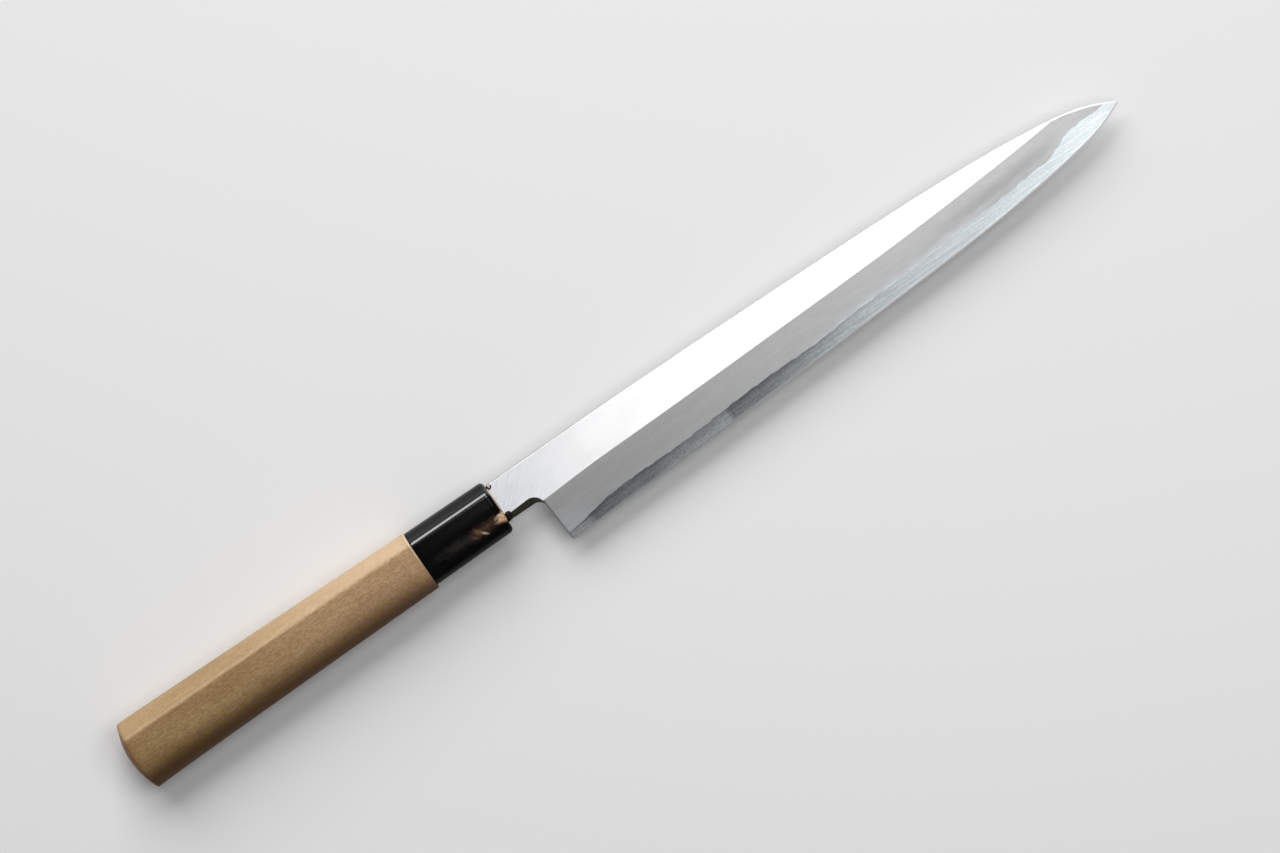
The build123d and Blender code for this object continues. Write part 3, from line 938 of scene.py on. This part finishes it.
class Finish:
    """One procedural material: its nodes are added one by one, each fed by the ones before it."""

    def __init__(self, name):
        self.material = bpy.data.materials.new(name)
        self.material.use_nodes = True
        self.tree = self.material.node_tree
        here = self.give("ShaderNodeTexCoord", "Object")
        step = {"Vector": here, "Scale": [1 / METRES] * 3, "Location": -PLACE}
        self.place = self.give("ShaderNodeMapping", 0, step)
        apart = self.node("ShaderNodeSeparateXYZ", {0: self.place})
        self.x, self.y, self.z = [Value(self, socket) for socket in apart.outputs]

    def node(self, kind, fed=(), **settings):
        """A node with those settings, its sockets fed by name or by number."""
        made = self.tree.nodes.new(kind)
        for name, value in settings.items():
            setattr(made, name, value)
        for socket, value in dict(fed).items():
            self.join(value, made.inputs[socket])
        return made

    def give(self, kind, output, fed=(), **settings):
        """What a new node gives at one of its outputs."""
        return Value(self, self.node(kind, fed, **settings).outputs[output])

    def join(self, value, socket):
        """Feeds a socket with another node's value, or sets it, a colour by its three parts."""
        if isinstance(value, Value):
            self.tree.links.new(value.socket, socket)
        else:
            socket.default_value = (*value, 1) if socket.type == "RGBA" else value

    def moved(self, kind, source, by):
        """The place shifted (ADD) or with each direction multiplied (MULTIPLY)."""
        return self.give("ShaderNodeVectorMath", 0, {0: source, 1: by}, operation=kind)

    def turned(self, source, degrees):
        """The place turned about the up direction."""
        turn = {"Vector": source, "Angle": radians(degrees)}
        return self.give("ShaderNodeVectorRotate", 0, turn, rotation_type="Z_AXIS")

    def noise(self, scale, detail=4.0, rough=0.6, twist=0.0, shift=None, turn=0.0):
        """Smooth noise whose cells are 1/scale millimetres in each direction, perhaps turned."""
        source = self.moved("ADD", self.place, shift) if shift else self.place
        source = self.turned(source, turn) if turn else source
        source = self.moved("MULTIPLY", source, scale)
        fed = {"Vector": source, "Scale": 1.0, "Detail": detail, "Roughness": rough, "Distortion": twist}
        return self.give("ShaderNodeTexNoise", "Fac", fed)

    def spot(self, centre, size, lean, warp, soft):
        """A soft ellipse: one in its middle, nought from its rim on, its rim bent by the warp."""
        source = self.moved("ADD", self.place, (-centre[0], -centre[1], 0))
        source = self.moved("MULTIPLY", self.turned(source, -lean), (1 / size[0], 1 / size[1], 0))
        far = self.give("ShaderNodeVectorMath", "Value", {0: source}, operation="LENGTH")
        return (far + warp).slope(1.0, 1.0 - soft)

    def curve(self, stops):
        """A value that changes evenly between stops along the blade."""
        made = self.node("ShaderNodeValToRGB", {0: self.x.math("DIVIDE", BLADE_LENGTH)})
        band = made.color_ramp.elements
        while len(band) < len(stops):
            band.new(0.5)
        for element, (at, value) in zip(band, stops):
            element.position = at / BLADE_LENGTH
            element.color = (value, value, value, 1)
        return Value(self, made.outputs[0])

    def length(self, name):
        """A length that the piece stores at its points."""
        return self.give("ShaderNodeAttribute", "Fac", attribute_name=name)

    def mix(self, share, first, second, kind="MIX"):
        """Two colours, blended by a share."""
        fed = {0: share, 6: first, 7: second}
        return self.give("ShaderNodeMix", 2, fed, data_type="RGBA", blend_type=kind)

    def layered(self, colour, *layers):
        """A colour with others laid over it in turn, each by its own share."""
        for share, shade in layers:
            colour = self.mix(share, colour, shade)
        return colour

    def bump(self, height, depth, below=None):
        """Relief of that depth in millimetres, perhaps over another one."""
        under = {} if below is None else {"Normal": below}
        return self.give("ShaderNodeBump", 0, {"Distance": depth * METRES, "Height": height, **under})

    def wear(self, colour, rough, relief=None, **others):
        """Feeds the shader and gives the material."""
        under = {} if relief is None else {"Normal": relief}
        fed = {"Base Color": colour, "Roughness": rough, **under, **others}
        for name, value in fed.items():
            self.join(value, self.tree.nodes["Principled BSDF"].inputs[name.replace("_", " ")])
        return self.material


def flat_iron():
    """The flat upper face: bright satin, a little greyer and with faint slanting grinding lines
    near the neck."""
    f = Finish("iron_flat_satin")
    slanting = f.noise((2.6, 0.20, 1.0), 3.0, turn=46.0)
    crossing = f.noise((4.5, 0.30, 1.0), 2.0, 0.5, shift=(0, 0, 3), turn=-25.0)
    along = f.noise((0.06, 9.0, 1.0), 3.0)
    cloud = f.noise((0.07, 0.12, 1.0), 3.0, 0.5)
    lines = slanting * 0.75 + crossing * 0.25
    neck = f.x.slope(32.0, 1.0)
    tone = (1.0 - neck * lines.slope(0.60, 0.38, 0.01, 0.14)) * cloud.spread(0.645, 0.675)
    colour = f.mix(neck, tone.tinted(1.0, 1.0, 1.01), tone.tinted(1.0, 1.02, 1.055))
    rough = ((along + lines) * 0.5).spread(0.31, 0.39)
    return f.wear(colour, rough, f.bump(lines, 0.003, f.bump(along, 0.002)), Metallic=1.0)


def spine_highlight_strip(f):
    """Share of the painted highlight: a near-white strip along the eased spine on the bevel near the tip."""
    return f.length("from_spine").slope(0.75, 0.40) * f.x.slope(222.0, 227.0)


def heel_shade_rim(f):
    """Share of its tone that the bevel keeps, less in a thin rim of painted shade by the heel's wall."""
    return f.length("from_heel").slope(0.15, 0.55, 0.40, 1.0)


def bevel_iron():
    """The wide bevel's iron: a matt haze from the stones in long soft clouds, a thin rim of painted shade at
    the heel's wall, a pale line over the weld in the blade's third quarter, then a dimmer band."""
    f = Finish("iron_bevel_haze")
    haze = f.noise((0.03, 0.20, 1.0), 3.0, 0.5, 0.3)
    cloud = f.noise((0.15, 0.60, 1.0), rough=0.55)
    stone = f.noise((0.35, 5.0, 1.0))
    speck = f.noise((9.0, 9.0, 1.0), 2.0, 0.5)
    below = f.length("below_weld")
    far = f.x.slope(168.0, 190.0)
    band = below.slope(-7.5, -3.6) * below.slope(-0.8, -2.6).larger(far * 0.55)
    band = band * f.x.slope(150.0, 190.0) * f.x.slope(224.0, 204.0)
    corner = f.x.slope(30.0, 17.0) * f.y.slope(-12.0, -18.0)
    tone = f.x.slope(15.0, 150.0, 0.44, 0.50) * (1.0 - band * 0.21) * (corner * 0.14 + 1.0)
    for noise, share in ((haze, 0.045), (cloud, 0.025), (stone, 0.03), (speck, 0.02)):
        tone = tone * noise.waver(share, 0.15)
    # darker in a thin rim of painted shade by the heel's wall
    tone = tone * heel_shade_rim(f)
    above = below + cloud.spread(-0.25, 0.15, 0.15)
    line = above.slope(-0.60, -0.1) * f.x.slope(104.0, 128.0, 0.0, 0.90)
    halo = above.slope(-2.6, -0.3) * f.x.slope(104.0, 135.0, 0.0, 0.22)
    colour = f.layered(
        tone.tinted(1.0, 1.003, 1.012),
        (corner, tone.tinted(1.0, 1.03, 1.06)),
        (line.larger(halo) * (1.0 - far), (0.63, 0.69, 0.71)),
        # painted highlight along the spine near the tip
        (spine_highlight_strip(f), (0.96, 0.96, 0.96)),
    )
    relief = f.bump(stone, 0.0015, f.bump(speck, 0.001))
    return f.wear(colour, haze.spread(0.41, 0.47), relief, Metallic=1.0)


def bevel_steel():
    """The hard steel on the bevel: greyish by the heel's corner, dark blue-grey up to the middle with its
    darkest place a third of the way along, then paler and paler to the tip, partly its own cloudy tone and
    partly a painted reflection. It is darker under the weld and lighter by the edge as a painted highlight,
    with long fine streaks."""
    f = Finish("steel_bevel_haze")
    cloud = f.noise((0.09, 0.7, 1.0), 4.0, 0.55, 0.4)
    streak = f.noise((0.04, 2.6, 1.0))
    fine = f.noise((0.25, 8.0, 1.0), 3.0)
    grain = f.noise((1.5, 2.6, 1.0), rough=0.65)
    below = f.length("below_weld")
    lively = grain.spread(-0.16, 0.16, 0.10) * f.x.slope(90.0, 170.0, 1.0, 0.4)
    under = below.slope(0.0, 2.8, -0.26, 0.18) * f.x.slope(150.0, 95.0) * f.x.slope(17.0, 24.0)
    thread = below.slope(0.75, 0.15) * f.x.slope(26.0, 20.0, 0.0, -0.42)
    # painted highlight: a pale line on the bevel by the edge
    edge_highlight = f.length("from_edge").slope(0.95, 0.6) * f.x.slope(16.0, 26.0, 0.0, 0.35)
    # tone along the blade, whose rise towards the tip is a painted reflection
    tone = f.curve(STEEL_TONES) * cloud.waver(0.07, 0.12) * fine.waver(0.05, 0.12) * streak.waver(0.09, 0.10)
    # darker in a thin rim of painted shade by the heel's wall
    tone = tone * (lively + 1.0) * (under + thread + edge_highlight + 1.0) * heel_shade_rim(f)
    colour = f.layered(
        tone.tinted(1.0, 1.005, 1.02),
        (f.x.slope(16.0, 24.0), tone.tinted(0.96, 1.03, 1.06)),
        # painted highlight along the spine near the tip
        (spine_highlight_strip(f), (0.96, 0.97, 0.98)),
    )
    rough = f.x.slope(60.0, 150.0, 0.30, 0.42) * cloud.waver(0.07)
    return f.wear(colour, rough, f.bump(fine, 0.001), Metallic=1.0)


def fine_edge():
    """The narrow cutting bevel: freshly honed with fine scratches along the edge, and painted pale as a
    painted highlight line that grows paler towards the tip.
    """
    f = Finish("edge_painted_highlight")
    fine = f.noise((1.2, 14.0, 14.0), 3.0)
    # painted highlight: pale tone, paler towards the tip
    tone = fine.waver(0.06) * f.x.slope(60.0, 180.0, 0.40, 0.90)
    return f.wear(tone.tinted(), fine.spread(0.46, 0.54), Metallic=0.15)


def polished_spine():
    """The spine: eased by hand along its length, a little stained and darker by the neck, and brighter near
    the tip as a painted highlight."""
    f = Finish("spine_polish")
    along = f.noise((0.12, 8.0, 8.0))
    tone = f.noise((0.25, 0.5, 0.5)).spread(0.50, 0.60) * along.spread(0.93, 1.05)
    # darker by the neck; brighter near the tip as a painted highlight
    tone = tone * f.x.slope(20.0, 90.0, 0.62, 1.0) * f.x.slope(205.0, 222.0, 1.0, 1.6)
    colour = tone.tinted(1.0, 0.99, 0.975)
    return f.wear(colour, along.spread(0.26, 0.38), f.bump(along, 0.004), Metallic=1.0)


def shade_painted_wall():
    """Walls of the notch and the heel: filed, and darkened to a dark brown as painted shade."""
    f = Finish("notch_wall_painted_shade")
    filed = f.noise((0.4, 0.4, 7.0), 3.0)
    # painted shade: a very dark brown tone
    tone = f.noise((0.5, 0.9, 0.9)).spread(0.020, 0.050) * filed.waver(0.1)
    colour = tone.tinted(1.0, 0.88, 0.60)
    return f.wear(colour, filed.spread(0.42, 0.55), f.bump(filed, 0.01), Metallic=1.0)


def ground_hollow():
    """The back's hollow: crosswise lines from the large wheel."""
    f = Finish("back_hollow_ground")
    lines = f.noise((5.0, 0.09, 1.0), rough=0.65) * 0.6 + f.noise((13.0, 0.2, 1.0), 2.0, 0.5) * 0.4
    tone = lines.spread(0.50, 0.58) * f.noise((0.04, 0.10, 1.0), 3.0, 0.5).waver(0.04)
    colour = tone.tinted(1.0, 1.0, 1.01)
    return f.wear(colour, lines.spread(0.26, 0.36), f.bump(lines, 0.006), Metallic=1.0)


def stoned_rim():
    """The back's flat rims: nearly a mirror, with long fine lines from the flat stone."""
    f = Finish("back_rim_stoned")
    along = f.noise((0.08, 10.0, 1.0), 3.0)
    colour = along.spread(0.60, 0.68).tinted()
    return f.wear(colour, along.spread(0.12, 0.20), f.bump(along, 0.001), Metallic=1.0)


def magnolia():
    """Pale magnolia: soft growth rings cut lengthwise round a far heart, mottled fibres and short dark
    pores, redder by the collar and at the butt. The facet and the rim by the collar are paler as painted
    light, a painted highlight runs along the ridge, and the low side is darker as painted shade."""
    f = Finish("magnolia_wood")
    drift = f.noise((0.012, 0.05, 0.05), 3.0, 0.5)
    wave = f.noise((0.05, 0.35, 0.35), 3.0, 0.5)
    up = f.z + 46.0
    side = f.y + 20.0
    reach = (up * up + side * side).math("SQRT") + drift * 16.0 + wave * 1.6
    turn = (reach * 0.36).math("FRACT")
    ring = turn.slope(0.0, 0.75) * turn.slope(1.0, 0.86)
    fibre = f.noise((0.10, 3.6, 3.6), 5.0, 0.65)
    hair = f.noise((0.28, 9.0, 9.0), 4.0, 0.7)
    mottle = f.noise((0.60, 1.7, 1.7), 6.0, 0.72)
    weave = f.noise((1.6, 2.6, 2.6), 3.0, turn=30.0)
    pore = f.noise((0.9, 7.0, 7.0), 2.0, 0.5).slope(0.60, 0.70)
    blotch = f.noise((0.035, 0.16, 0.16), 3.0, 0.5)
    near = f.x.slope(-125.0, -30.0)
    light = f.mix(near, (0.450, 0.295, 0.130), (0.620, 0.410, 0.235))
    dark = f.mix(near, (0.235, 0.128, 0.042), (0.345, 0.190, 0.084))
    colour = f.layered(
        light,
        (ring * 0.20, dark),
        (fibre.slope(0.40, 0.66, 0.0, 0.42), dark),
        (mottle.slope(0.44, 0.58, 0.0, 0.62), dark),
        (hair.slope(0.42, 0.66, 0.0, 0.30), (0.60, 0.43, 0.25)),
        (blotch.slope(0.40, 0.66, 0.0, 0.30), dark),
        (pore * 0.55, (0.165, 0.085, 0.030)),
    )
    colour = f.mix(1.0, colour, weave.waver(0.07, 0.10).tinted(), "MULTIPLY")
    above = f.length("from_ridge")
    ridge_highlight = hair.slope(0.30, 0.60, 0.5, 1.0) * above.slope(-1.1, -0.1) * above.slope(0.7, 0.1)
    colour = f.layered(
        colour,
        # painted light: the facet paler, most near the collar
        (above.slope(-0.4, 0.8) * f.x.slope(-105.0, -32.0, 0.16, 0.55), (0.76, 0.57, 0.37)),
        # painted highlight along the ridge
        (ridge_highlight * f.x.slope(-60.0, -90.0, 0.16, 0.32), (0.78, 0.60, 0.40)),
        # painted shade: the low side darker
        (above.slope(-8.0, -16.5, 0.0, 0.90), (0.070, 0.028, 0.004)),
        # painted highlight on the rim by the collar, strongest on the upper side
        (f.x.slope(-31.35, -30.9) * f.y.slope(-4.0, 6.0, 0.0, 0.6), (0.84, 0.70, 0.50)),
        (f.x.slope(-140.5, -143.8, 0.0, 0.65), (0.17, 0.070, 0.028)),
    )
    relief = f.bump(hair, 0.03, f.bump(pore * -1.0, 0.04))
    return f.wear(colour, fibre.spread(0.52, 0.64), relief, Specular_IOR_Level=0.25)


def horn():
    """Black buffalo horn, polished brightest along its ridge, with a painted sheen as a soft grey band along
    its lower middle. Its pale core shows at the front's low side as a wedge, with brown marbling, a cream
    streak and a pinkish one behind it."""
    f = Finish("black_horn")
    grain = f.noise((0.10, 2.4, 2.4))
    warp = f.noise((0.45, 0.9, 0.9), twist=0.8)
    bend = warp.spread(-0.25, 0.25)
    top = f.z.slope(11.0, 14.0)

    def marking(centre, size, lean, soft=1.0, bent=1.0, most=1.0):
        """Share of a marking on the upper side: a soft ellipse with a bent rim, at most that strong."""
        return f.spot(centre, size, lean, bend * bent, soft) * top * most

    marbling = marking((-7.0, -3.4), (9.5, 2.9), 4.0) * warp.slope(0.34, 0.56)
    core = f.mix(warp.spread(0.0, 1.0, 0.15), (0.86, 0.61, 0.42), (0.52, 0.31, 0.18))
    core = f.mix(f.y.slope(-4.3, -5.5, 0.0, 0.7), core, (0.62, 0.32, 0.11))
    colour = f.layered(
        (0.0022, 0.0021, 0.0024),
        (grain.slope(0.4, 0.75, 0.0, 0.6), (0.0062, 0.0050, 0.0046)),
        # painted sheen: a soft grey band along the lower middle
        (marking((-17.0, -3.3), (12.0, 2.6), 0.0), (0.024, 0.022, 0.020)),
        (marbling, (0.100, 0.056, 0.034)),
        (marking((-10.0, -3.0), (2.0, 1.3), -50.0, most=0.85), (0.20, 0.115, 0.050)),
        (marking((-8.35, -4.6), (1.8, 0.60), -44.0, 0.9, 0.5), (0.56, 0.48, 0.34)),
        (marking((-11.6, -4.4), (1.8, 0.75), -36.0, most=0.8), (0.13, 0.060, 0.045)),
        (marking((1.4, -3.5), (5.6, 2.3), 2.0, 0.5, 0.6), core),
    )
    ridge = f.y.slope(6.6, 5.8) * f.y.slope(4.4, 5.1)
    front = f.x.slope(-2.9, -1.5, 0.0, 0.45) * f.y.slope(5.2, 4.6)
    body = (1.0 - front) * f.y.slope(-8.8, -5.0, 0.07, 0.12) * f.y.slope(5.6, 5.2)
    facet = f.y.slope(5.2, 5.6) * f.y.slope(5.4, 8.0, 0.46, 0.135)
    gloss = ridge.larger(body + facet)
    return f.wear(colour, grain.spread(0.10, 0.14), f.bump(grain, 0.002), IOR=1.58, Specular_IOR_Level=gloss)


def resin():
    """The sealing resin round the tang: nearly black and dull."""
    f = Finish("black_resin")
    cloud = f.noise((0.9, 0.9, 0.9))
    colour = f.mix(cloud.spread(0.0, 1.0, 0.15), (0.004, 0.003, 0.003), (0.012, 0.007, 0.005))
    return f.wear(colour, cloud.spread(0.45, 0.6), f.bump(cloud, 0.03), Specular_IOR_Level=0.15)


def resin_bead():
    """The drop on the spine: clear red-brown resin with a hard gloss."""
    f = Finish("resin_bead")
    cloud = f.noise((0.8, 0.8, 0.8), 3.0, 0.5)
    colour = f.mix(cloud.spread(0.0, 1.0, 0.15), (0.016, 0.004, 0.003), (0.060, 0.013, 0.006))
    return f.wear(colour, cloud.spread(0.05, 0.08), f.bump(cloud, 0.01), IOR=2.6)


def pale_floor():
    """A plain pale floor."""
    return Finish("floor_pale").wear((0.86, 0.86, 0.86), 0.9)


# The collar's own corner gives the step from the knife's places to the frame's
collar = collar_skin()
collar_points = np.concatenate(collar.points)
box_low, box_high = [np.array(corner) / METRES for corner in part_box("ferrule_horn")]
PLACE = box_low - collar_points.min(axis=0)
PLACE[0] = box_high[0] - collar_points[:, 0].max()

iron, steel = blade_skins()
plain, wall = polished_spine(), shade_painted_wall()
iron_finishes = [flat_iron(), bevel_iron(), plain, wall]
steel_finishes = [bevel_steel(), fine_edge(), plain, stoned_rim(), ground_hollow(), wall]
iron_body = finished(iron, "iron_body", "blade_iron", iron_finishes)
steel_layer = finished(steel, "steel_layer", "blade_steel", steel_finishes)
handle = finished(wood_skin(), "magnolia_handle", "handle_wood", [magnolia()])
finished(collar, "horn_collar", "ferrule_horn", [horn()])
finished(seal_skin(), "resin_seal", "tang_seal", [resin(), resin_bead()])
measured(handle, from_ridge)
for length_of in (from_edge, from_spine, below_weld, from_heel):
    measured(iron_body, length_of)
    measured(steel_layer, length_of)


# Floor, lamps and camera: lengths of the floor and the lamps in metres, the camera's in millimetres.
# Each lamp has its middle, what it faces, its size and how brightly it glows.
FLOOR_HALF = 6.0
LAMPS = {
    "overhead": ((0.2715, -0.035, 0.9), (0.2715, -0.035, 0.0), (0.617, 0.57), 2.6),
    "spine_side": ((0.3, 1.75, 1.35), (0.0, 0.0, 0.0), (2.0, 1.7), 4.4),
}
SKY = (0.14, 0.14, 0.145, 1)
PHOTO_TURN = 34.2
PHOTO_CENTRE = (52.45, -4.3)
PHOTO_DISTANCE = 2400.0
PHOTO_WIDTH = 414.0
SENSOR = 36.0


def floor():
    """A wide flat sheet just under the knife."""
    half = FLOOR_HALF
    mesh = bpy.data.meshes.new("floor")
    corners = [(-half, -half, 0), (half, -half, 0), (half, half, 0), (-half, half, 0)]
    mesh.from_pydata(corners, [], [(0, 1, 2, 3)])
    mesh.materials.append(pale_floor())
    placed("floor", mesh)


def soft_lamp(name, centre, target, size, radiance):
    """A flat lamp that glows with that radiance and faces the target. Its power is the radiance
    times pi times its area."""
    data = bpy.data.lights.new(name, "AREA")
    data.shape = "RECTANGLE"
    data.size, data.size_y = size
    data.energy = radiance * np.pi * size[0] * size[1]
    lamp = placed(name, data)
    lamp.location = centre
    lamp.rotation_mode = "QUATERNION"
    lamp.rotation_quaternion = (Vector(centre) - Vector(target)).to_track_quat("Z", "Y")
    lamp.visible_camera = False


floor()
for name, lamp_values in LAMPS.items():
    soft_lamp(name, *lamp_values)
world = bpy.data.worlds.new("studio")
world.use_nodes = True
world.node_tree.nodes["Background"].inputs["Color"].default_value = SKY
bpy.context.scene.world = world

camera_data = bpy.data.cameras.new("camera")
camera_data.sensor_width = SENSOR
camera_data.lens = SENSOR * PHOTO_DISTANCE / PHOTO_WIDTH
camera = placed("camera", camera_data)
camera.location = (np.array([*PHOTO_CENTRE, BACK + THICK_HEEL + PHOTO_DISTANCE]) + PLACE) * METRES
camera.rotation_euler = (0, 0, -radians(PHOTO_TURN))
bpy.context.scene.camera = camera
bpy.context.scene.view_settings.view_transform = "Standard"
